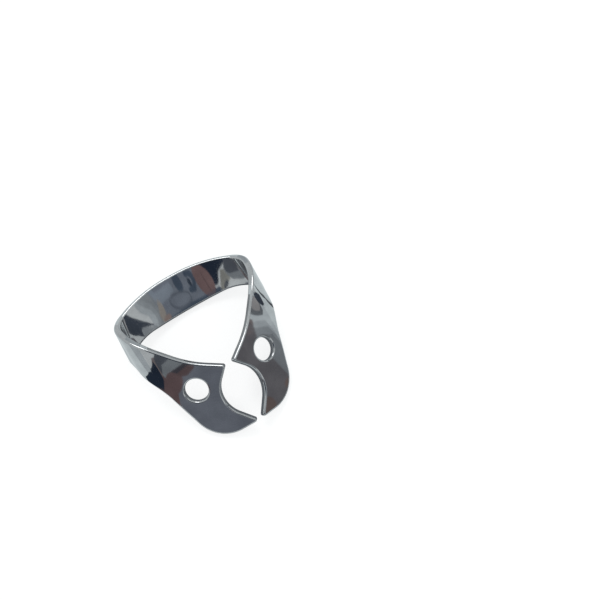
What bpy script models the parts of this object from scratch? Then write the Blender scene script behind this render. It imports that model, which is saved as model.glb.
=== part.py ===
# A wingless rubber dam clamp for a premolar tooth.
# It is one strip of spring steel sheet, cut to a flat blank and folded into a bow, two arms
# and two jaws. Each jaw has a forceps hole and a round bite between two prongs.
# Lengths are in metres and angles in radians. The clamp lies as it rests on a table: upside
# down, on the crown of its bow and the front lobes of its jaws.

import math

import bmesh
import bpy
from mathutils import Quaternion, Vector

MM = 0.001
DEGREE = math.pi / 180

# Sheet
SHEET = 0.9 * MM
EDGE_ROUND = 0.25 * MM

# Fineness of the model: how far a chord may stray from its arc, the widest turn of one step,
# the extra facets in each rounded edge, the largest bend that still counts as flat, the bend
# from which an edge is shaded sharp, and the distance within which points are welded
SMOOTHNESS = 0.004 * MM
COARSEST_STEP = 15 * DEGREE
EDGE_FACETS = 1
FLAT_ANGLE = 0.1 * DEGREE
SHARP_ANGLE = 30 * DEGREE
WELD = 0.001 * MM

# The most of a straight edge that the arcs at its two ends may take up between them
ARC_SHARE = 0.98

# Bow. Radii are those of the sheet's middle. On the blank, a start runs outward from the middle
# of the crown, and a forward distance runs from the bow's back edge to the jaws.
BOW_WIDTH = 5.3 * MM
CROWN_HALF = 5.1 * MM
CROWN_RADIUS = 20.2 * MM
SHOULDER_LENGTH = 3.7 * MM
SHOULDER_RADIUS = 15.3 * MM

# Folds at the bow's corner and along the arm. The corner is a cone, much rounder at the back
# edge of the bow than at its front edge, and beside it the sheet bends slightly the other way.
# A lean turns a fold line outward as it runs forward.
CORNER_START = 7.87 * MM
CORNER_BACK_RADIUS = 2.75 * MM
CORNER_FRONT_RADIUS = 1.32 * MM
CORNER_ANGLE = 82.0 * DEGREE
CORNER_LEAN = 13.8 * DEGREE
RETURN_START = 10.43 * MM
RETURN_RADIUS = 3.8 * MM
RETURN_ANGLE = 8.3 * DEGREE
ARM_START = 10.99 * MM
ARM_RADIUS = 4.2 * MM
ARM_ANGLE = 57.6 * DEGREE
ARM_LEAN = 7.8 * DEGREE

# Arm edges on the blank: the sweeps lie out from the corner's start, the front from the arm's
BACK_SWEEP_OUT = 1.23 * MM
BACK_SWEEP_RADIUS = 24.4 * MM
FRONT_SWEEP_OUT = 0.58 * MM
FRONT_SWEEP_RADIUS = 8.6 * MM
ARM_FRONT_OUT = 4.21 * MM
ARM_FRONT_FORWARD = 10.8 * MM
ARM_FRONT_RADIUS = 7.3 * MM

# Jaws. A reach is the distance from the clamp's middle plane once it is folded.
HOLE_DIAMETER = 3.0 * MM
HOLE_REACH = 4.79 * MM
HOLE_FORWARD = 11.85 * MM
BACK_FLARE_REACH = 4.04 * MM
BACK_FLARE_FORWARD = 8.28 * MM
BACK_FLARE_RADIUS = 13.9 * MM
BACK_PRONG_REACH = 0.41 * MM
BACK_PRONG_FORWARD = 9.91 * MM
BITE_REACH = 3.64 * MM
BITE_FORWARD = 14.28 * MM
BITE_RADIUS = 3.6 * MM
FRONT_PRONG_REACH = 0.15 * MM
FRONT_PRONG_FORWARD = 18.05 * MM
LOBE_REACH = 5.58 * MM
LOBE_FORWARD = 19.39 * MM
LOBE_RADIUS = 4.4 * MM
PRONG_TIP_RADIUS = 0.28 * MM

UP = Vector((0.0, 0.0, 1.0))


def arc_steps(radius, angle):
    """How many straight steps follow an arc within the wanted smoothness."""
    step = 2 * math.acos(1 - SMOOTHNESS / radius)
    return max(2, math.ceil(abs(angle) / min(step, COARSEST_STEP)))


class Cylinder:
    """A fold of one radius from a straight line; its way is 1 for down and -1 for up."""

    def __init__(self, start, radius, angle, lean=0.0, way=1):
        self.radius = radius
        self.angle = angle
        self.way = way
        self.foot = Vector((start, 0.0, 0.0))
        self.outward = Vector((math.cos(lean), -math.sin(lean), 0.0))

    def cuts(self):
        """Where the flat sheet bends: a place on each bend line, and the way across it."""
        steps = arc_steps(self.radius + SHEET / 2, self.angle)
        for step in range(steps + 1):
            place = self.foot + self.outward * self.radius * self.angle * step / steps
            yield place, self.outward

    def carry(self, point, flat):
        """Carry a point of the sheet round the fold; flat is where it lies on the blank."""
        turn = (flat - self.foot).dot(self.outward) / self.radius
        turn = min(max(turn, 0.0), self.angle)
        centre = self.foot - UP * self.radius * self.way
        back = point - centre - self.outward * self.radius * turn
        return centre + Quaternion(UP.cross(self.outward), turn * self.way) @ back


class Cone:
    """A fold whose radius changes from the blank's back edge to a line further forward."""

    def __init__(self, start, back_radius, front_radius, width, angle, lean):
        taper = (front_radius - back_radius) / width
        forward = Vector((math.sin(lean), math.cos(lean), 0.0))
        half = math.atan(abs(taper))
        self.way = math.copysign(1.0, taper)
        self.sine = math.sin(half)
        self.mean_radius = (back_radius + front_radius) / 2
        self.angle = angle
        self.foot = Vector((start, 0.0, 0.0))
        self.apex = self.foot - forward * back_radius / taper
        self.line = forward * self.way
        self.outward = Vector((math.cos(lean), -math.sin(lean), 0.0))
        self.axis = self.line * math.cos(half) - UP * self.sine

    def bend_line(self, turn):
        """The way that the bend line at this turn runs on the flat sheet, from the apex."""
        flat_turn = turn * self.sine
        return self.line * math.cos(flat_turn) + self.outward * math.sin(flat_turn)

    def cuts(self):
        """Where the flat sheet bends: a place on each bend line, and the way across it."""
        steps = arc_steps(self.mean_radius + SHEET / 2, self.angle)
        for step in range(steps + 1):
            line = self.bend_line(self.angle * step / steps)
            yield self.apex, line.cross(UP) * self.way

    def carry(self, point, flat):
        """Carry a point of the sheet round the fold; flat is where it lies on the blank."""
        aim = flat - self.apex
        turn = math.atan2(aim.dot(self.outward), aim.dot(self.line)) / self.sine
        turn = min(max(turn, 0.0), self.angle)
        back = Quaternion(UP, self.way * turn * self.sine) @ (point - self.apex)
        return self.apex + Quaternion(self.axis, self.way * turn) @ back


def corner_fold():
    """The corner as a cone, or as a cylinder where its two radii are alike."""
    if abs(CORNER_BACK_RADIUS - CORNER_FRONT_RADIUS) < SMOOTHNESS:
        return Cylinder(CORNER_START, CORNER_BACK_RADIUS, CORNER_ANGLE, CORNER_LEAN)
    return Cone(
        CORNER_START, CORNER_BACK_RADIUS, CORNER_FRONT_RADIUS, BOW_WIDTH, CORNER_ANGLE, CORNER_LEAN
    )


CROWN = Cylinder(0.0, CROWN_RADIUS, CROWN_HALF / CROWN_RADIUS)
SHOULDER = Cylinder(CROWN_HALF, SHOULDER_RADIUS, SHOULDER_LENGTH / SHOULDER_RADIUS)
CORNER = corner_fold()
RETURN = Cylinder(RETURN_START, RETURN_RADIUS, RETURN_ANGLE, ARM_LEAN, -1)
ARM = Cylinder(ARM_START, ARM_RADIUS, ARM_ANGLE, ARM_LEAN)
FOLDS = (CROWN, SHOULDER, CORNER, RETURN, ARM)


def fold_sheet(point):
    """Fold a point of the flat sheet, from the arm's fold back to the crown."""
    flat = Vector((point.x, point.y, 0.0))
    for fold in reversed(FOLDS):
        point = fold.carry(point, flat)
    return point


def on_jaw(reach, forward):
    """The blank point of the flat jaw that ends up at this reach from the middle plane."""
    near = Vector((ARM_START + 2 * ARM_RADIUS * ARM_ANGLE, forward, 0.0))
    far = near + Vector((MM, 0.0, 0.0))
    near_reach = fold_sheet(near).x
    far_reach = fold_sheet(far).x
    return near.x + MM * (reach - near_reach) / (far_reach - near_reach), forward


def rounded_outline(corners):
    """Join corners (x, y, radius) with straight edges and arcs; the first and last are ends."""
    places = [Vector(corner[:2]) for corner in corners]
    cuts = [0.0]
    turns = [0.0]
    for before, place, after, corner in zip(places, places[1:], places[2:], corners[1:]):
        turn = (after - place).angle_signed(place - before)
        turns.append(turn)
        cuts.append(corner[2] * math.tan(abs(turn) / 2))
    cuts.append(0.0)
    shares = []
    for i in range(len(places) - 1):
        edge = (places[i + 1] - places[i]).length
        shares.append(min(1.0, ARC_SHARE * edge / (cuts[i] + cuts[i + 1])))
    points = [places[0]]
    for i in range(1, len(places) - 1):
        cut = cuts[i] * min(shares[i - 1], shares[i])
        radius = cut / math.tan(abs(turns[i]) / 2)
        into = (places[i] - places[i - 1]).normalized()
        side = Vector((-into.y, into.x)) * math.copysign(1.0, turns[i])
        start = places[i] - into * cut
        steps = arc_steps(radius, turns[i])
        for step in range(steps + 1):
            angle = abs(turns[i]) * step / steps
            along = into * math.sin(angle) * radius
            aside = side * (1 - math.cos(angle)) * radius
            points.append(start + along + aside)
    points.append(places[-1])
    return points


def blank_outline():
    """One half of the blank, with the cut at the middle left outside the half."""
    corners = [
        (0.0, 0.0, 0.0),
        (CORNER_START + BACK_SWEEP_OUT, 0.0, BACK_SWEEP_RADIUS),
        (*on_jaw(BACK_FLARE_REACH, BACK_FLARE_FORWARD), BACK_FLARE_RADIUS),
        (*on_jaw(BACK_PRONG_REACH, BACK_PRONG_FORWARD), PRONG_TIP_RADIUS),
        (*on_jaw(BITE_REACH, BITE_FORWARD), BITE_RADIUS),
        (*on_jaw(FRONT_PRONG_REACH, FRONT_PRONG_FORWARD), PRONG_TIP_RADIUS),
        (*on_jaw(LOBE_REACH, LOBE_FORWARD), LOBE_RADIUS),
        (ARM_START + ARM_FRONT_OUT, ARM_FRONT_FORWARD, ARM_FRONT_RADIUS),
        (CORNER_START + FRONT_SWEEP_OUT, BOW_WIDTH, FRONT_SWEEP_RADIUS),
        (0.0, BOW_WIDTH, 0.0),
    ]
    spare = Vector((-2 * SHEET, 0.0))
    points = rounded_outline(corners)
    return [points[0] + spare, *points, points[-1] + spare]


def hole_outline():
    """The forceps hole, wound against the outline so that it stays open."""
    radius = HOLE_DIAMETER / 2
    centre = Vector(on_jaw(HOLE_REACH, HOLE_FORWARD))
    steps = arc_steps(radius, 2 * math.pi)
    points = []
    for step in range(steps):
        angle = -2 * math.pi * step / steps
        points.append(centre + radius * Vector((math.cos(angle), math.sin(angle))))
    return points


def blank_mesh():
    """The flat half blank: a filled 2D curve with the sheet's thickness and round edges."""
    curve = bpy.data.curves.new("blank", "CURVE")
    curve.dimensions = "2D"
    curve.fill_mode = "BOTH"
    curve.extrude = SHEET / 2 - EDGE_ROUND
    curve.bevel_depth = EDGE_ROUND
    curve.bevel_resolution = EDGE_FACETS
    curve.offset = -EDGE_ROUND
    for points in (blank_outline(), hole_outline()):
        spline = curve.splines.new("POLY")
        spline.points.add(len(points) - 1)
        for spline_point, place in zip(spline.points, points):
            spline_point.co = (place.x, place.y, 0.0, 1.0)
        spline.use_cyclic_u = True
    holder = bpy.data.objects.new("blank", curve)
    bpy.context.collection.objects.link(holder)
    evaluated = holder.evaluated_get(bpy.context.evaluated_depsgraph_get())
    mesh = bpy.data.meshes.new_from_object(evaluated)
    bpy.data.objects.remove(holder)
    return mesh


def cut_sheet(sheet, place, across, clear_inner=False):
    """Cut the flat sheet along a straight line."""
    bmesh.ops.bisect_plane(
        sheet,
        geom=sheet.verts[:] + sheet.edges[:] + sheet.faces[:],
        dist=WELD,
        plane_co=place,
        plane_no=across,
        clear_inner=clear_inner,
    )


def fold_mesh(mesh):
    """Cut the flat blank along its fold lines and into triangles, then fold it."""
    sheet = bmesh.new()
    sheet.from_mesh(mesh)
    bmesh.ops.remove_doubles(sheet, verts=sheet.verts[:], dist=WELD)
    bmesh.ops.dissolve_limit(
        sheet, angle_limit=FLAT_ANGLE, verts=sheet.verts[:], edges=sheet.edges[:]
    )
    for fold in FOLDS:
        for place, across in fold.cuts():
            cut_sheet(sheet, place, across)
    cut_sheet(sheet, CROWN.foot, CROWN.outward, clear_inner=True)
    bmesh.ops.triangulate(sheet, faces=sheet.faces[:])
    for vertex in sheet.verts:
        vertex.co = fold_sheet(vertex.co)
    sheet.to_mesh(mesh)
    sheet.free()


def resting_turn(points):
    """The turn about X that lays the clamp on its crown and its lobes, upside down."""
    middle = sum(point.y for point in points) / len(points)
    crown = max(points, key=lambda point: point.z)
    while True:
        ahead = [point for point in points if point.y > crown.y + SMOOTHNESS]
        lobe = max(ahead, key=lambda point: (point.z - crown.z) / (point.y - crown.y))
        if lobe.y > middle:
            return math.pi - math.atan2(lobe.z - crown.z, lobe.y - crown.y)
        crown = lobe


def spring_steel():
    """Bright tumbled stainless spring steel."""
    material = bpy.data.materials.new("spring_steel")
    material.use_nodes = True
    shader = material.node_tree.nodes["Principled BSDF"]
    shader.inputs["Base Color"].default_value = (0.56, 0.57, 0.58, 1.0)
    shader.inputs["Metallic"].default_value = 1.0
    shader.inputs["Roughness"].default_value = 0.18
    return material


def make_clamp(collection):
    """The whole clamp: the folded half, mirrored, laid down with its lowest points at zero."""
    mesh = blank_mesh()
    mesh.name = "clamp"
    fold_mesh(mesh)
    clamp = bpy.data.objects.new("clamp", mesh)
    collection.objects.link(clamp)
    mesh.materials.clear()
    mesh.materials.append(spring_steel())
    mirror = clamp.modifiers.new("Mirror", "MIRROR")
    mirror.merge_threshold = WELD
    mesh.shade_smooth()
    mesh.set_sharp_from_angle(angle=SHARP_ANGLE)
    turn = resting_turn([vertex.co for vertex in mesh.vertices])
    clamp.rotation_euler.x = turn
    ys = [v.co.y * math.cos(turn) - v.co.z * math.sin(turn) for v in mesh.vertices]
    zs = [v.co.y * math.sin(turn) + v.co.z * math.cos(turn) for v in mesh.vertices]
    clamp.location = (0.0, -(min(ys) + max(ys)) / 2, -min(zs))


def main():
    for leftover in list(bpy.data.objects):
        bpy.data.objects.remove(leftover)
    collection = bpy.data.collections.new("rubber_dam_clamp")
    bpy.context.scene.collection.children.link(collection)
    make_clamp(collection)


main()
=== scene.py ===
import math

import bpy
import numpy as np
from mathutils import Matrix, Vector
from mathutils.geometry import delaunay_2d_cdt


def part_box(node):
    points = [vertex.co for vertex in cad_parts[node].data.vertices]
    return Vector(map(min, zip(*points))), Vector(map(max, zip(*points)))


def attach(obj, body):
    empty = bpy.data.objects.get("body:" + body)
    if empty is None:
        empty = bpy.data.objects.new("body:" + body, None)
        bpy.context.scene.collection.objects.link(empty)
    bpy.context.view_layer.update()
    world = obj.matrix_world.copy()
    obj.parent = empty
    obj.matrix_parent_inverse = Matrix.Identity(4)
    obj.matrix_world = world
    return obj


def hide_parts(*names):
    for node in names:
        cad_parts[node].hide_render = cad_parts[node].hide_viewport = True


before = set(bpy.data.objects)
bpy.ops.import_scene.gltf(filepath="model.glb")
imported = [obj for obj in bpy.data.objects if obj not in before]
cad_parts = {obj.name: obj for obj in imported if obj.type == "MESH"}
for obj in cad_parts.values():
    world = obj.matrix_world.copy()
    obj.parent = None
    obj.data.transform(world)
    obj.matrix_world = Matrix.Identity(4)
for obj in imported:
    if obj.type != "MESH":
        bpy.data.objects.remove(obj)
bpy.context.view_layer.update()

# A wingless rubber dam clamp: one strip of spring steel sheet, folded into a bow, two arms and
# two jaws. It is made here as the maker makes it: a flat blank with tumbled edges, then folded.
# The blank is in millimetres, with x along the bow from its middle, y forward from the bow's
# back edge and z up through the sheet.
MM = 0.001
DEGREE = math.pi / 180
UP = np.array([0.0, 0.0, 1.0])

# Sheet
SHEET = 0.9
EDGE_ROUND = 0.25

# Bow, corner and arm folds
BOW_WIDTH = 5.3
CROWN_HALF = 5.1
CROWN_RADIUS = 20.2
SHOULDER_LENGTH = 3.7
SHOULDER_RADIUS = 15.3
CORNER_START = 7.87
CORNER_BACK_RADIUS = 2.75
CORNER_FRONT_RADIUS = 1.32
CORNER_ANGLE = 82.0 * DEGREE
CORNER_LEAN = 13.8 * DEGREE
RETURN_START = 10.43
RETURN_RADIUS = 3.8
RETURN_ANGLE = 8.3 * DEGREE
ARM_START = 10.99
ARM_RADIUS = 4.2
ARM_ANGLE = 57.6 * DEGREE
ARM_LEAN = 7.8 * DEGREE

# Arm edges
BACK_SWEEP = (9.1, 0.0, 24.4)
FRONT_SWEEP = (8.45, BOW_WIDTH, 8.6)
ARM_FRONT = (15.2, 10.8, 7.3)

# Jaws: a reach is measured from the clamp's middle plane once it is folded
HOLE_DIAMETER = 3.0
HOLE_REACH = 4.79
HOLE_FORWARD = 11.85
BACK_FLARE = (4.04, 8.28, 13.9)
BACK_PRONG = (0.41, 9.91)
BITE = (3.64, 14.28, 3.6)
FRONT_PRONG = (0.15, 18.05)
LOBE = (5.58, 19.39, 4.4)
PRONG_TIP_RADIUS = 0.28

# Fineness of the mesh
OUTLINE_STEP = 0.1
FEWEST_ARC_STEPS = 8
GRID_STEP = 0.17
GRID_CLEARANCE = 0.6 * GRID_STEP
ROUND_STEPS = 5
WALL_STEPS = 2

# How much of an edge the arcs at its two ends may take up
ARC_SHARE = 0.98

# Lengths too small to matter, in millimetres
SMALLEST_CUT = 1e-9
WELD = 1e-6
LEVEL_GAP = 0.01


def new_object(name, data):
    """An object with this data, put into the scene."""
    thing = bpy.data.objects.new(name, data)
    bpy.context.scene.collection.objects.link(thing)
    return thing


def turned(vectors, axis, angles):
    """Each vector turned about one axis by its own angle."""
    cosine = np.cos(angles)[:, None]
    sine = np.sin(angles)[:, None]
    along = (vectors @ axis)[:, None] * axis
    return vectors * cosine + np.cross(axis, vectors) * sine + along * (1 - cosine)


class Cylinder:
    """A fold of one radius from a straight line; its way is 1 for down and -1 for up."""

    def __init__(self, start, radius, angle, lean=0.0, way=1):
        self.radius = radius
        self.angle = angle
        self.way = way
        self.foot = np.array([start, 0.0, 0.0])
        self.outward = np.array([math.cos(lean), -math.sin(lean), 0.0])

    def carry(self, points, flat):
        """Carry points of the sheet round the fold; flat is where they lie on the blank."""
        turn = np.clip((flat - self.foot) @ self.outward / self.radius, 0, self.angle)
        centre = self.foot - UP * self.radius * self.way
        back = points - centre - np.outer(turn * self.radius, self.outward)
        return centre + turned(back, np.cross(UP, self.outward), self.way * turn)

    def limits(self, y):
        """Where the fold starts and ends on the blank, this far forward."""
        start = self.foot[0] - y * self.outward[1] / self.outward[0]
        return start, start + self.radius * self.angle / self.outward[0]


class Cone:
    """A fold whose radius changes from the blank's back edge to a line further forward."""

    def __init__(self, start, back_radius, front_radius, width, angle, lean):
        taper = (front_radius - back_radius) / width
        forward = np.array([math.sin(lean), math.cos(lean), 0.0])
        half = math.atan(abs(taper))
        self.way = math.copysign(1.0, taper)
        self.sine = math.sin(half)
        self.angle = angle
        self.apex = np.array([start, 0.0, 0.0]) - forward * back_radius / taper
        self.line = forward * self.way
        self.outward = np.array([math.cos(lean), -math.sin(lean), 0.0])
        self.axis = self.line * math.cos(half) - UP * self.sine

    def carry(self, points, flat):
        """Carry points of the sheet round the fold; flat is where they lie on the blank."""
        aim = flat - self.apex
        turn = np.arctan2(aim @ self.outward, aim @ self.line) / self.sine
        turn = np.clip(turn, 0, self.angle)
        back = turned(points - self.apex, UP, self.way * turn * self.sine)
        return self.apex + turned(back, self.axis, self.way * turn)

    def limits(self, y):
        """Where the fold starts and ends on the blank, this far forward."""
        places = []
        for turn in (0.0, self.angle * self.sine):
            aim = self.line * math.cos(turn) + self.outward * math.sin(turn)
            places.append(self.apex[0] + (y - self.apex[1]) * aim[0] / aim[1])
        return places


CROWN = Cylinder(0.0, CROWN_RADIUS, CROWN_HALF / CROWN_RADIUS)
SHOULDER = Cylinder(CROWN_HALF, SHOULDER_RADIUS, SHOULDER_LENGTH / SHOULDER_RADIUS)
CORNER = Cone(
    CORNER_START, CORNER_BACK_RADIUS, CORNER_FRONT_RADIUS, BOW_WIDTH, CORNER_ANGLE, CORNER_LEAN
)
RETURN = Cylinder(RETURN_START, RETURN_RADIUS, RETURN_ANGLE, ARM_LEAN, -1)
ARM = Cylinder(ARM_START, ARM_RADIUS, ARM_ANGLE, ARM_LEAN)
FOLDS = (CROWN, SHOULDER, CORNER, RETURN, ARM)

# A place on the flat jaw, well beyond the last fold
FLAT_JAW = ARM_START + 2 * ARM_RADIUS * ARM_ANGLE


def fold_sheet(points, flat):
    """Fold points of the flat sheet, on either side of the middle."""
    side = np.where(flat[:, :1] < 0, -1.0, 1.0) * [1, 0, 0] + [0, 1, 1]
    points = points * side
    flat = flat * side
    for fold in reversed(FOLDS):
        points = fold.carry(points, flat)
    return points * side


def on_jaw(reach, forward):
    """The blank point of the flat jaw that ends up at this reach from the middle plane."""
    pair = np.array([[FLAT_JAW, forward, 0.0], [FLAT_JAW + 1, forward, 0.0]])
    reaches = fold_sheet(pair, pair)[:, 0]
    return FLAT_JAW + (reach - reaches[0]) / (reaches[1] - reaches[0]), forward


def rounded_outline(corners, arc_step):
    """Join corners (x, y, radius) with straight edges and arcs; the first and last are ends."""
    places = [Vector(corner[:2]) for corner in corners]
    cuts = [0.0]
    turns = [0.0]
    for before, place, after, corner in zip(places, places[1:], places[2:], corners[1:]):
        turn = (after - place).angle_signed(place - before)
        turns.append(turn)
        cuts.append(corner[2] * math.tan(abs(turn) / 2))
    cuts.append(0.0)
    shares = []
    for i in range(len(places) - 1):
        edge = (places[i + 1] - places[i]).length
        shares.append(min(1.0, ARC_SHARE * edge / max(cuts[i] + cuts[i + 1], SMALLEST_CUT)))
    points = [places[0]]
    for i in range(1, len(places) - 1):
        cut = cuts[i] * min(shares[i - 1], shares[i])
        radius = cut / math.tan(abs(turns[i]) / 2)
        into = (places[i] - places[i - 1]).normalized()
        side = Vector((-into.y, into.x)) * math.copysign(1.0, turns[i])
        start = places[i] - into * cut
        steps = max(FEWEST_ARC_STEPS, math.ceil(radius * abs(turns[i]) / arc_step))
        for step in range(steps + 1):
            angle = abs(turns[i]) * step / steps
            along = into * math.sin(angle) * radius
            aside = side * (1 - math.cos(angle)) * radius
            points.append(start + along + aside)
    points.append(places[-1])
    return points


def spaced(points):
    """The same line with its long straight runs divided."""
    out = [points[0]]
    for before, after in zip(points, points[1:]):
        steps = max(1, round((after - before).length / OUTLINE_STEP))
        out += [before.lerp(after, step / steps) for step in range(1, steps + 1)]
    return np.array(out)


def blank_outline():
    """The whole blank's outline, from the middle of the back edge round to the other side."""
    half = spaced(rounded_outline([
        (0.0, 0.0, 0.0),
        BACK_SWEEP,
        (*on_jaw(*BACK_FLARE[:2]), BACK_FLARE[2]),
        (*on_jaw(*BACK_PRONG), PRONG_TIP_RADIUS),
        (*on_jaw(*BITE[:2]), BITE[2]),
        (*on_jaw(*FRONT_PRONG), PRONG_TIP_RADIUS),
        (*on_jaw(*LOBE[:2]), LOBE[2]),
        ARM_FRONT,
        FRONT_SWEEP,
        (0.0, BOW_WIDTH, 0.0),
    ], OUTLINE_STEP))
    other = half[-2:0:-1] * [-1, 1]
    return np.vstack([half, other])


def hole_outline(side):
    """One forceps hole, wound against the outline."""
    x, y = on_jaw(HOLE_REACH, HOLE_FORWARD)
    steps = round(math.pi * HOLE_DIAMETER / OUTLINE_STEP)
    angles = -2 * math.pi * np.arange(steps) / steps
    ring = np.stack([np.cos(angles), np.sin(angles)], 1)
    return ring * HOLE_DIAMETER / 2 + [side * x, y]


def edge_profile():
    """The tumbled edge from top to bottom: how far in, how high, and which way it faces."""
    quarter = np.linspace(math.pi / 2, 0.0, ROUND_STEPS + 1)
    wall = np.linspace(0.0, 1.0, WALL_STEPS + 1)[1:-1]
    flat = SHEET / 2 - EDGE_ROUND
    rows = [(EDGE_ROUND * (math.cos(a) - 1), flat + EDGE_ROUND * math.sin(a), a) for a in quarter]
    rows += [(0.0, flat * (1 - 2 * share), 0.0) for share in wall]
    rows += [(inset, -height, -angle) for inset, height, angle in rows[ROUND_STEPS::-1]]
    return rows


def inside(points, loop):
    """Which points lie inside a closed loop."""
    x, y = points[:, :1], points[:, 1:]
    x0, y0 = loop.T
    x1, y1 = np.roll(loop, -1, 0).T
    straddle = (y0 > y) != (y1 > y)
    rise = np.where(y1 == y0, 1.0, y1 - y0)
    cross = x < (x1 - x0) * (y - y0) / rise + x0
    return (straddle & cross).sum(1) % 2 == 1


def field_points(loops):
    """An even field of points inside the blank, with a row of them along each fold's limits."""
    low = loops[0].min(0)
    high = loops[0].max(0)
    rows = np.arange(low[1], high[1], GRID_STEP * math.sqrt(3) / 2)
    columns = np.arange(0.0, high[0], GRID_STEP)
    field = []
    for i, y in enumerate(rows):
        places = columns + (GRID_STEP / 2 if i % 2 else 0.0)
        for fold in FOLDS:
            for limit in fold.limits(y):
                places[np.abs(places - limit).argmin()] = limit
        right = np.stack([places, np.full(len(places), y)], 1)
        left = right[right[:, 0] > 0] * [-1, 1]
        field += [right, left]
    field = np.vstack(field)
    field = field[inside(field, loops[0])]
    for loop in loops[1:]:
        field = field[~inside(field, loop)]
    edge = np.vstack(loops)
    clear = []
    for point in field:
        gap = np.square(edge - point).sum(1).min()
        clear.append(gap > GRID_CLEARANCE ** 2)
    return field[np.array(clear)]


def clamp_mesh():
    """The folded clamp's points, faces and facing directions, in millimetres."""
    outlines = [blank_outline(), hole_outline(1), hole_outline(-1)]
    profile = edge_profile()
    points, facings, faces, rims = [], [], [], []
    count = 0
    for loop in outlines:
        along = np.roll(loop, -1, 0) - np.roll(loop, 1, 0)
        along /= np.linalg.norm(along, axis=1)[:, None]
        out = np.stack([along[:, 1], -along[:, 0]], 1)
        size = len(loop)
        for inset, height, angle in profile:
            points.append(np.column_stack([loop + out * inset, np.full(size, height)]))
            facings.append(np.column_stack([
                out * math.cos(angle), np.full(size, math.sin(angle))
            ]))
        rims.append((count, size))
        for row in range(len(profile) - 1):
            for i in range(size):
                here = count + row * size + i
                after = count + row * size + (i + 1) % size
                faces.append((here, here + size, after + size, after))
        count += size * len(profile)
    flat_loops = [points[k * len(profile)][:, :2] for k in range(len(outlines))]
    field = field_points(flat_loops)
    plane = np.vstack([*flat_loops, field])
    edges = []
    start = 0
    for loop in flat_loops:
        size = len(loop)
        edges += [(start + i, start + (i + 1) % size) for i in range(size)]
        start += size
    found = delaunay_2d_cdt([Vector(p) for p in plane], edges, [], 1, WELD)
    origin = [sources[0] for sources in found[3]]
    triangles = np.array([[origin[corner] for corner in corners] for corners in found[2]])
    for loop in flat_loops[1:]:
        triangles = triangles[~inside(plane[triangles].mean(1), loop)]
    top, bottom = [], []
    for first, size in rims:
        top += range(first, first + size)
        last = first + (len(profile) - 1) * size
        bottom += range(last, last + size)
    top += range(count, count + len(field))
    bottom += range(count + len(field), count + 2 * len(field))
    for level in (1, -1):
        points.append(np.column_stack([field, np.full(len(field), level * SHEET / 2)]))
        facings.append(np.tile(level * UP, (len(field), 1)))
    for a, b, c in triangles:
        faces.append((top[a], top[b], top[c]))
        faces.append((bottom[c], bottom[b], bottom[a]))
    points = np.vstack(points)
    facings = np.vstack(facings)
    flat = points * [1, 1, 0]
    folded = fold_sheet(points, flat)
    return folded, faces, fold_sheet(points + facings, flat) - folded, points


def resting_turn(points):
    """The turn about X that lays the clamp on its crown and its lobes, upside down."""
    middle = points[:, 1].mean()
    crown = points[points[:, 2].argmax()]
    while True:
        ahead = points[points[:, 1] > crown[1] + LEVEL_GAP]
        slope = (ahead[:, 2] - crown[2]) / (ahead[:, 1] - crown[1])
        lobe = ahead[slope.argmax()]
        if lobe[1] > middle:
            return math.pi - math.atan2(lobe[2] - crown[2], lobe[1] - crown[1])
        crown = lobe


def lay_on_blank(mesh, blank):
    """Keep each point's place on the blank, for the steel's grain."""
    place = mesh.attributes.new("blank", "FLOAT_VECTOR", "POINT")
    place.data.foreach_set("vector", blank.ravel())


def make_clamp():
    """The clamp in the place of its solid."""
    points, faces, facings, blank = clamp_mesh()
    low, high = (np.array(corner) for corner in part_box("clamp"))
    turn = np.full(len(points), resting_turn(points))
    axis = np.array([1.0, 0.0, 0.0])
    points = turned(points, axis, turn) * MM
    facings = turned(facings, axis, turn)
    points[:, 1] += (low[1] + high[1] - points[:, 1].min() - points[:, 1].max()) / 2
    points[:, 2] += low[2] - points[:, 2].min()
    mesh = bpy.data.meshes.new("polished_clamp")
    mesh.from_pydata(points.tolist(), [], faces)
    mesh.shade_smooth()
    mesh.normals_split_custom_set_from_vertices(facings.tolist())
    lay_on_blank(mesh, blank)
    return new_object("polished_clamp", mesh)


# Finish

class Value:
    """A socket that arithmetic can be written on."""

    def __init__(self, nodes, socket):
        self.nodes = nodes
        self.socket = socket

    def maths(self, operation, *inputs):
        return self.nodes.add("ShaderNodeMath", {"operation": operation}, *inputs)["Value"]

    def most(self, other):
        """The larger of two values."""
        return self.maths("MAXIMUM", self, other)

    def __add__(self, other):
        return self.maths("ADD", self, other)

    def __radd__(self, other):
        return self.maths("ADD", other, self)

    def __mul__(self, other):
        return self.maths("MULTIPLY", self, other)

    def __rmul__(self, other):
        return self.maths("MULTIPLY", other, self)


class Nodes:
    """The nodes of one material or world."""

    def __init__(self, owner):
        owner.use_nodes = True
        self.tree = owner.node_tree
        self.tree.nodes.clear()

    def add(self, kind, settings=None, *inputs, **named):
        """Add a node: its settings first, then its sockets by place or by name."""
        node = self.tree.nodes.new(kind)
        for name, value in (settings or {}).items():
            if name == "stops":
                for stop, (place, colour) in zip(node.color_ramp.elements, value):
                    stop.position = place
                    stop.color = colour
            else:
                setattr(node, name, value)
        sockets = list(enumerate(inputs))
        sockets += [(name.replace("_", " "), value) for name, value in named.items()]
        for name, value in sockets:
            if isinstance(value, Value):
                self.tree.links.new(value.socket, node.inputs[name])
            else:
                node.inputs[name].default_value = value
        return {socket.name: Value(self, socket) for socket in node.outputs if socket.enabled}

    def noise(self, place, scale, detail, roughness=0.5):
        """Soft noise from 0 to 1; the scale counts its forms in a millimetre."""
        return self.add(
            "ShaderNodeTexNoise", None, Vector=place, Scale=scale, Detail=detail, Roughness=roughness
        )["Fac"]


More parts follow.
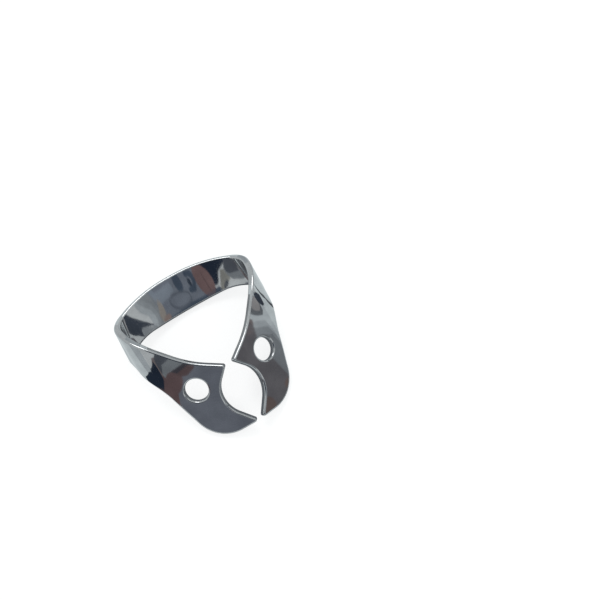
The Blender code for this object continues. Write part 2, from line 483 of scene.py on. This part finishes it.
# The steel's noises, counted in a millimetre
CLOUD_SCALE = 0.45
GRAIN_SCALE = 9.0
WAVE_SCALE = 0.35
NOISE_DETAIL = 3.0
GRAIN_ROUGHNESS = 0.6

# How high the sheet's wave and its grain stand, in millimetres
WAVE_HEIGHT = 0.0015
GRAIN_HEIGHT = 0.0002

# How rough the steel is at its smoothest, and what its clouds and its grain add
SMOOTHEST = 0.02
ADDED_ROUGHNESS = 0.02

# The steel's two tones, and where between the noise's extremes each begins
DARK_STEEL = (0.35, (0.44, 0.45, 0.46, 1))
LIGHT_STEEL = (0.65, (0.64, 0.65, 0.655, 1))


def polished_steel():
    """Tumbled and polished stainless spring steel, with the sheet's fine grain left in it."""
    material = bpy.data.materials.new("polished_spring_steel")
    nodes = Nodes(material)
    blank = nodes.add("ShaderNodeAttribute", {"attribute_name": "blank"})["Vector"]
    clouds = nodes.noise(blank, CLOUD_SCALE, NOISE_DETAIL)
    grain = nodes.noise(blank, GRAIN_SCALE, NOISE_DETAIL, GRAIN_ROUGHNESS)
    wave = nodes.noise(blank, WAVE_SCALE, 1.0)
    height = wave * WAVE_HEIGHT + grain * GRAIN_HEIGHT
    rough = SMOOTHEST + clouds * ADDED_ROUGHNESS + grain * ADDED_ROUGHNESS
    tones = {"stops": [DARK_STEEL, LIGHT_STEEL]}
    colour = nodes.add("ShaderNodeValToRGB", tones, clouds * 0.5 + grain * 0.5)["Color"]
    bump = nodes.add("ShaderNodeBump", None, Strength=1.0, Distance=MM, Height=height)["Normal"]
    shader = nodes.add(
        "ShaderNodeBsdfPrincipled", None, Base_Color=colour, Metallic=1.0, Roughness=rough,
        Normal=bump,
    )["BSDF"]
    nodes.add("ShaderNodeOutputMaterial", None, shader)
    return material


# Stage

# The camera, found by fitting the clamp's silhouette to the photo: millimetres and degrees
CAMERA_PLACE = Vector((-7.93, -24.46, 76.50))
CAMERA_TURN = (22.80, -3.15, -34.15)
CAMERA_LENS = 35.88
CAMERA_NEAREST = 1.0

# The sky, the floor's paint and its own glow
SKY = (0.62, 0.65, 0.66)
FLOOR_HALF = 3000.0
FLOOR_PAINT = 0.4
FLOOR_GLOW = 0.75

# Boards that cards are pinned to: how far off they stand, then each one's bearing and rise
BOARD_DISTANCE = 50.0
LEFT_BOARD = (225.0, 28.7)
RIGHT_BOARD = (-7.3, 29.8)
BACK_BOARD = (90.0, 0.0)
FRONT_BOARD = (-90.0, 0.0)

# Cards on one board lie in layers. A higher layer lies nearer to the clamp and covers a lower one.
CARD_GAP = 0.03

# How round a card's corners may be and its sharp ones are, and how finely its arcs are divided
CARD_ROUND = 12.0
HALF_ROUND = 5.0
SHARP = 0.1
CARD_STEP = 1.0
OVAL_CORNERS = 12

# Colours of the cards
NAVY = (0.022, 0.032, 0.052)
DEEP_SLATE = (0.045, 0.06, 0.085)
SLATE = (0.075, 0.10, 0.14)
STORM = (0.135, 0.155, 0.19)
JAW_BLUE = (0.17, 0.185, 0.22)
BLUE_GREY = (0.20, 0.225, 0.27)
PALE_SLATE = (0.27, 0.31, 0.365)
DARK_GREY = (0.055, 0.067, 0.088)
PLUM = (0.06, 0.058, 0.07)
MAUVE_GREY = (0.155, 0.15, 0.162)
ROSE_GREY = (0.36, 0.35, 0.355)
OLIVE_GREY = (0.29, 0.29, 0.27)
DARK_RED = (0.12, 0.085, 0.088)
DEEP_BROWN = (0.15, 0.102, 0.105)
BROWN = (0.205, 0.138, 0.138)
RED_BROWN = (0.165, 0.127, 0.12)
GREY_BROWN = (0.195, 0.168, 0.17)
LIGHT_BROWN = (0.30, 0.23, 0.21)
TAN = (0.36, 0.33, 0.30)
POCKET_BLUE = (0.095, 0.105, 0.125)

# The red and the blue of a cool grey for its green, and how its blue fades as it gets lighter
GREY_RED = 0.92
GREY_BLUE = 1.1
BLUE_FADE = 0.1


def cool_grey(level):
    """A slightly blue grey, by how light it is."""
    return GREY_RED * level, level, (GREY_BLUE - BLUE_FADE * level) * level


def oval(x, y, length, width, lean=0.0):
    """The corners of an oval card: its middle, its two sizes and its lean in degrees."""
    middle = Vector((x, y))
    along = Vector((math.cos(lean * DEGREE), math.sin(lean * DEGREE)))
    corners = []
    for step in range(OVAL_CORNERS):
        angle = 2 * math.pi * step / OVAL_CORNERS
        ahead = along * math.cos(angle) * length / 2
        aside = along.orthogonal() * math.sin(angle) * width / 2
        corners.append(tuple(middle + ahead + aside))
    return corners


# Cards round the camera, which the bow's inner face reflects. Each card has a name, a colour, a
# layer and its corners; a corner may have a radius of its own.
CAMERA_CARDS = [
    ("bow_rim_shade", SLATE, -1, [(4, -18), (4, -10), (30, 6), (52, 14), (64, 12), (60, 5)]),
    ("blue_grey_card", BLUE_GREY, 0, [(4, -16), (2, -40), (66, -14), (60, 6), (48, 8)]),
    ("pale_slate_card", PALE_SLATE, 1, [
        (33, -12), (55, -4), (54, 4), (62, 2), (58, -8), (34, -15),
    ]),
    ("window_shade", SLATE, 1, [(-2, -38), (28, -24), (62, -12), (62, -16), (28, -30), (0, -44)]),
    ("mottle_left", SLATE, 1, [(26, -12), (22, -15), (24, -19.5), (31.5, -19), (30.5, -14.5)]),
    ("mottle_right", SLATE, 1, [
        (17, -18), (11, -22), (12, -25), (18, -26), (24, -23), (22, -22), (15.5, -24),
        (15, -21.5), (19, -19.5),
    ]),
    ("mottle_middle", DEEP_SLATE, 2, oval(18, -22, 3.4, 2.6)),
    ("round_shade", STORM, 1, oval(35.5, -18.5, 26, 6.4, 23)),
    ("round_middle", BLUE_GREY, 2, oval(35, -18.5, 23, 4.2, 24)),
    ("brown_card", BROWN, 1, [(10, -21), (3, -25), (0, -31), (3, -37), (13, -32), (15, -27)]),
    ("brown_streak", DEEP_BROWN, 2, oval(7, -30, 8, 1.3, -70)),
    ("navy_card", NAVY, 0, [
        (11, -20), (4, -37), (-9, -37), (-26, -44), (-45, -58), (-60, -24), (-30, 16), (5, 2),
    ]),
    ("arch_card", OLIVE_GREY, 1, [(2, -38), (-12, -38.5), (-42, -58), (-22, -48), (-9, -43), (2, -42)]),
    ("arch_middle", POCKET_BLUE, 2, oval(-8.5, -42.5, 10, 1.8, 18)),
    ("dome_shade", cool_grey(0.315), 0, [
        (60, 6), (57, -6), (62, -14), (78, -16), (75, -8), (70, -8), (66, -3), (96, 16), (80, 18),
    ]),
    ("dome_edge", cool_grey(0.38), -1, [
        (60, 0), (66, -14), (84, -14), (84, -6), (76, -6), (72, -3), (96, 12), (90, 18),
    ]),
    ("dome_middle", cool_grey(0.50), -2, [
        (60, 0), (66, -14), (96, -14), (96, -2), (87, -2), (84, 0), (112, 14), (100, 20),
    ]),
    ("tan_card", TAN, 1, [(57, -5.5), (53, -8), (58, -11), (68, -10.5), (72, -8), (62, -6.5)]),
    ("small_brown_card", LIGHT_BROWN, 2, oval(61, -12, 14, 2.4, 16)),
    ("wedge_card", cool_grey(0.315), 0, [(140, 17), (80, -6), (84, -9), (118, 1), (156, 16)]),
]

# Cards to the left of the clamp, which the left arm, the left jaw and the right corner reflect
LEFT_CARDS = [
    ("left_jaw_card", JAW_BLUE, 0, [(-24, 7), (4, 7), (10, 0), (13, -8), (9, -16), (-24, -16)]),
    ("left_top_card", PLUM, 2, [(14, 2.5), (10, 6), (4.5, 4.5), (7.5, 1.5)]),
    ("left_red_streak", DARK_RED, 3, [(8.5, 1), (6, 4), (4.5, 4), (6, 1.5)]),
    ("left_brown_card", DEEP_BROWN, 1, [
        (14, -2), (10, 3), (6.5, 1.5), (6.5, -1.5), (11, -7.5), (30, -33), (44, -33),
    ]),
    ("left_tan_card", GREY_BROWN, 0, [(23, -5), (12, 5), (6, 0), (12, -10), (30, -34), (46, -34)]),
    ("left_navy_card", NAVY, 2, [(24, -7), (20, -5), (20, -9), (34, -27), (37, -33), (47, -33)]),
    ("right_corner_shade", cool_grey(0.25), 3, [(-3, 17), (3, 16), (20, -3), (17, -6), (-2, 13)]),
    ("right_corner_pocket", POCKET_BLUE, 4, [
        (-2, 16.5), (3, 16), (20, -3), (18, -6), (9, 5.5), (-1, 14),
    ]),
]

# Cards to the right of the clamp, which the right arm, the right jaw and the left corner reflect
RIGHT_CARDS = [
    ("right_arm_card", cool_grey(0.62), 0, [
        (20, 0), (10, -2), (4, -14), (0, -30), (30, -30), (28, -6),
    ]),
    ("right_arm_middle", cool_grey(0.48), 1, [
        (16, -3), (15, -9), (11, -24), (30, -24), (28, -8), (20, -3),
    ]),
    ("right_arm_shade", cool_grey(0.345), 2, [
        (17.5, -3), (16.5, -9), (12.5, -24), (30, -24), (28, -8), (20, -3),
    ]),
    ("right_jaw_card", MAUVE_GREY, 4, [
        (16, 0), (38, 0.5), (45, -6), (46, -18), (29.5, -14), (20.5, -5.5), (15.5, -4),
    ]),
    ("right_tip_card", RED_BROWN, 5, oval(35.5, -8, 6, 4.7)),
    ("right_red_card", RED_BROWN, 5, oval(29.5, -13, 3, 3)),
    ("right_jaw_shade", cool_grey(0.26), 3, [
        (18.5, -3), (24, -8), (32, -12), (36, -24), (14, -24), (18.5, -10),
    ]),
    ("right_brown_strip", GREY_BROWN, 4, [(15, -4), (18, -4.5), (21, -1.5), (15.5, -2.5)]),
    ("right_round_shade", cool_grey(0.185), 3, [
        (10.5, -2.5), (14.5, -2.5), (14.5, -6), (3.5, -21.5), (6.5, -11.5),
    ]),
    ("right_round_card", ROSE_GREY, 4, [
        (10.5, -3.5), (13.5, -3.5), (13.5, -5.5), (5, -16.5), (7, -10.5),
    ]),
    ("right_blob", DARK_GREY, 5, oval(3, -20, 24, 3.4, 66)),
    ("left_corner_pocket", DARK_GREY, 0, [
        (-70, 1), (10, 4), (18, 9), (32, 20.5, SHARP), (23.5, 11), (21, 6.5), (24, 7.5, SHARP),
        (20, 4), (16, -1), (-70, -6),
    ]),
]

# A card behind the clamp, which the right corner's rim reflects
BACK_CARDS = [("back_card", cool_grey(0.50), 0, oval(13, 7.5, 26, 25))]

# A card in front of the clamp, which the bites' and holes' rims reflect
FRONT_CARDS = [("front_card", cool_grey(0.22), 0, oval(-29, 10, 82, 40))]

# Cards on the floor, which the arms' outer faces reflect
FLOOR_CARDS = [
    ("floor_card", cool_grey(0.78), 2, [(-600, -600), (600, -600), (600, 600), (-600, 600)]),
    ("floor_left_card", cool_grey(0.55), 3, [(-22, 9), (-20, -3), (-600, -160), (-600, 200)]),
    ("floor_navy_card", NAVY, 4, [(-12.5, 1.5), (-24, -0.5), (-84, -14.5), (-84, -22), (-13, -1)]),
    ("floor_brown_card", DEEP_BROWN, 5, [
        (-13, -0.5), (-46, -10.5), (-84, -20), (-84, -40), (-46, -24), (-16, -8),
    ]),
    ("floor_jaw_card", cool_grey(0.185), 3, [
        (-8, 8, HALF_ROUND), (-9, -4), (-6, -13), (6, -13), (9, -4), (8, 8, HALF_ROUND),
    ]),
    ("floor_right_line", cool_grey(0.135), 3, [
        (10, 1.2), (20, 1.8), (60, -2.4), (60, -4), (20, 1), (10, 0.4),
    ]),
]


def card(name, corners, colour):
    """A flat coloured card that only shows in the steel's reflections."""
    mesh = bpy.data.meshes.new(name)
    mesh.from_pydata([corner * MM for corner in corners], [], [range(len(corners))])
    material = bpy.data.materials.new(name)
    nodes = Nodes(material)
    glow = nodes.add("ShaderNodeEmission", None, (*colour, 1.0), 1.0)["Emission"]
    nodes.add("ShaderNodeOutputMaterial", None, glow)
    mesh.materials.append(material)
    thing = new_object(name, mesh)
    thing.visible_camera = False
    thing.visible_diffuse = False
    thing.visible_shadow = False
    thing.visible_transmission = False


def card_outline(corners):
    """A card's closed outline: an arc at each corner, smaller where the edges there are short."""
    seam = (*((Vector(corners[0][:2]) + Vector(corners[-1][:2])) / 2), 0.0)
    rounded = [(*corner, CARD_ROUND)[:3] for corner in corners]
    return rounded_outline([seam, *rounded, seam], CARD_STEP)[:-1]


def pin_cards(place, turn, cards):
    """Pin cards to the board at one place."""
    for name, colour, layer, corners in cards:
        spot = place - place.normalized() * CARD_GAP * layer
        card(name, [spot + turn @ Vector((*point, 0)) for point in card_outline(corners)], colour)


def board(bearing, rise, cards):
    """Cards on a board that stands round the clamp and faces it."""
    level = math.cos(rise * DEGREE)
    across = math.cos(bearing * DEGREE) * level
    forward = math.sin(bearing * DEGREE) * level
    direction = Vector((across, forward, math.sin(rise * DEGREE)))
    pin_cards(direction * BOARD_DISTANCE, direction.to_track_quat("-Z", "Y").to_matrix(), cards)


def floor():
    """A white floor that still takes the clamp's soft shadow."""
    mesh = bpy.data.meshes.new("floor")
    half = FLOOR_HALF * MM
    mesh.from_pydata([(-half, -half, 0), (half, -half, 0), (half, half, 0), (-half, half, 0)], [], [range(4)])
    material = bpy.data.materials.new("white_floor")
    nodes = Nodes(material)
    path = nodes.add("ShaderNodeLightPath")
    seen = path["Is Camera Ray"].most(path["Is Glossy Ray"]).most(path["Is Transmission Ray"])
    paint = nodes.add("ShaderNodeBsdfDiffuse", None, (FLOOR_PAINT, FLOOR_PAINT, FLOOR_PAINT, 1.0))
    glow = nodes.add("ShaderNodeEmission", None, (1.0, 1.0, 1.0, 1.0), seen * FLOOR_GLOW)
    both = nodes.add("ShaderNodeAddShader", None, paint["BSDF"], glow["Emission"])["Shader"]
    nodes.add("ShaderNodeOutputMaterial", None, both)
    mesh.materials.append(material)
    new_object("floor", mesh)


def camera():
    """The camera, where the photo's stood."""
    data = bpy.data.cameras.new("camera")
    data.lens = CAMERA_LENS
    data.clip_start = CAMERA_NEAREST * MM
    thing = new_object("camera", data)
    thing.location = CAMERA_PLACE * MM
    thing.rotation_euler = [angle * DEGREE for angle in CAMERA_TURN]
    bpy.context.scene.camera = thing
    return thing


def softbox(name, place, aim, width, height, radiance):
    """A rectangular soft lamp; its places and sizes are in millimetres."""
    data = bpy.data.lights.new(name, "AREA")
    data.shape = "RECTANGLE"
    data.size = width * MM
    data.size_y = height * MM
    data.energy = radiance * math.pi * data.size * data.size_y
    thing = new_object(name, data)
    thing.location = Vector(place) * MM
    thing.rotation_euler = (Vector(aim) - Vector(place)).to_track_quat("-Z", "Y").to_euler()


def studio():
    """Plain soft light, a white floor, and cards for the steel to reflect."""
    scene = bpy.context.scene
    scene.view_settings.view_transform = "Standard"
    world = bpy.data.worlds.new("studio")
    scene.world = world
    nodes = Nodes(world)
    sky = nodes.add("ShaderNodeBackground", None, (*SKY, 1.0), 1.0)["Background"]
    nodes.add("ShaderNodeOutputWorld", None, sky)
    softbox(
        "ceiling_lamp", place=(20, 180, 240), aim=(0, 0, 0), width=150, height=90, radiance=4.0
    )
    floor()
    pin_cards(CAMERA_PLACE, camera().rotation_euler.to_matrix(), CAMERA_CARDS)
    board(*LEFT_BOARD, LEFT_CARDS)
    board(*RIGHT_BOARD, RIGHT_CARDS)
    board(*BACK_BOARD, BACK_CARDS)
    board(*FRONT_BOARD, FRONT_CARDS)
    pin_cards(Vector((0, 0, -CARD_GAP)), Matrix.Identity(3), FLOOR_CARDS)


steel = polished_steel()
clamp = make_clamp()
clamp.data.materials.append(steel)
studio()
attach(clamp, "root")
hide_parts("clamp")
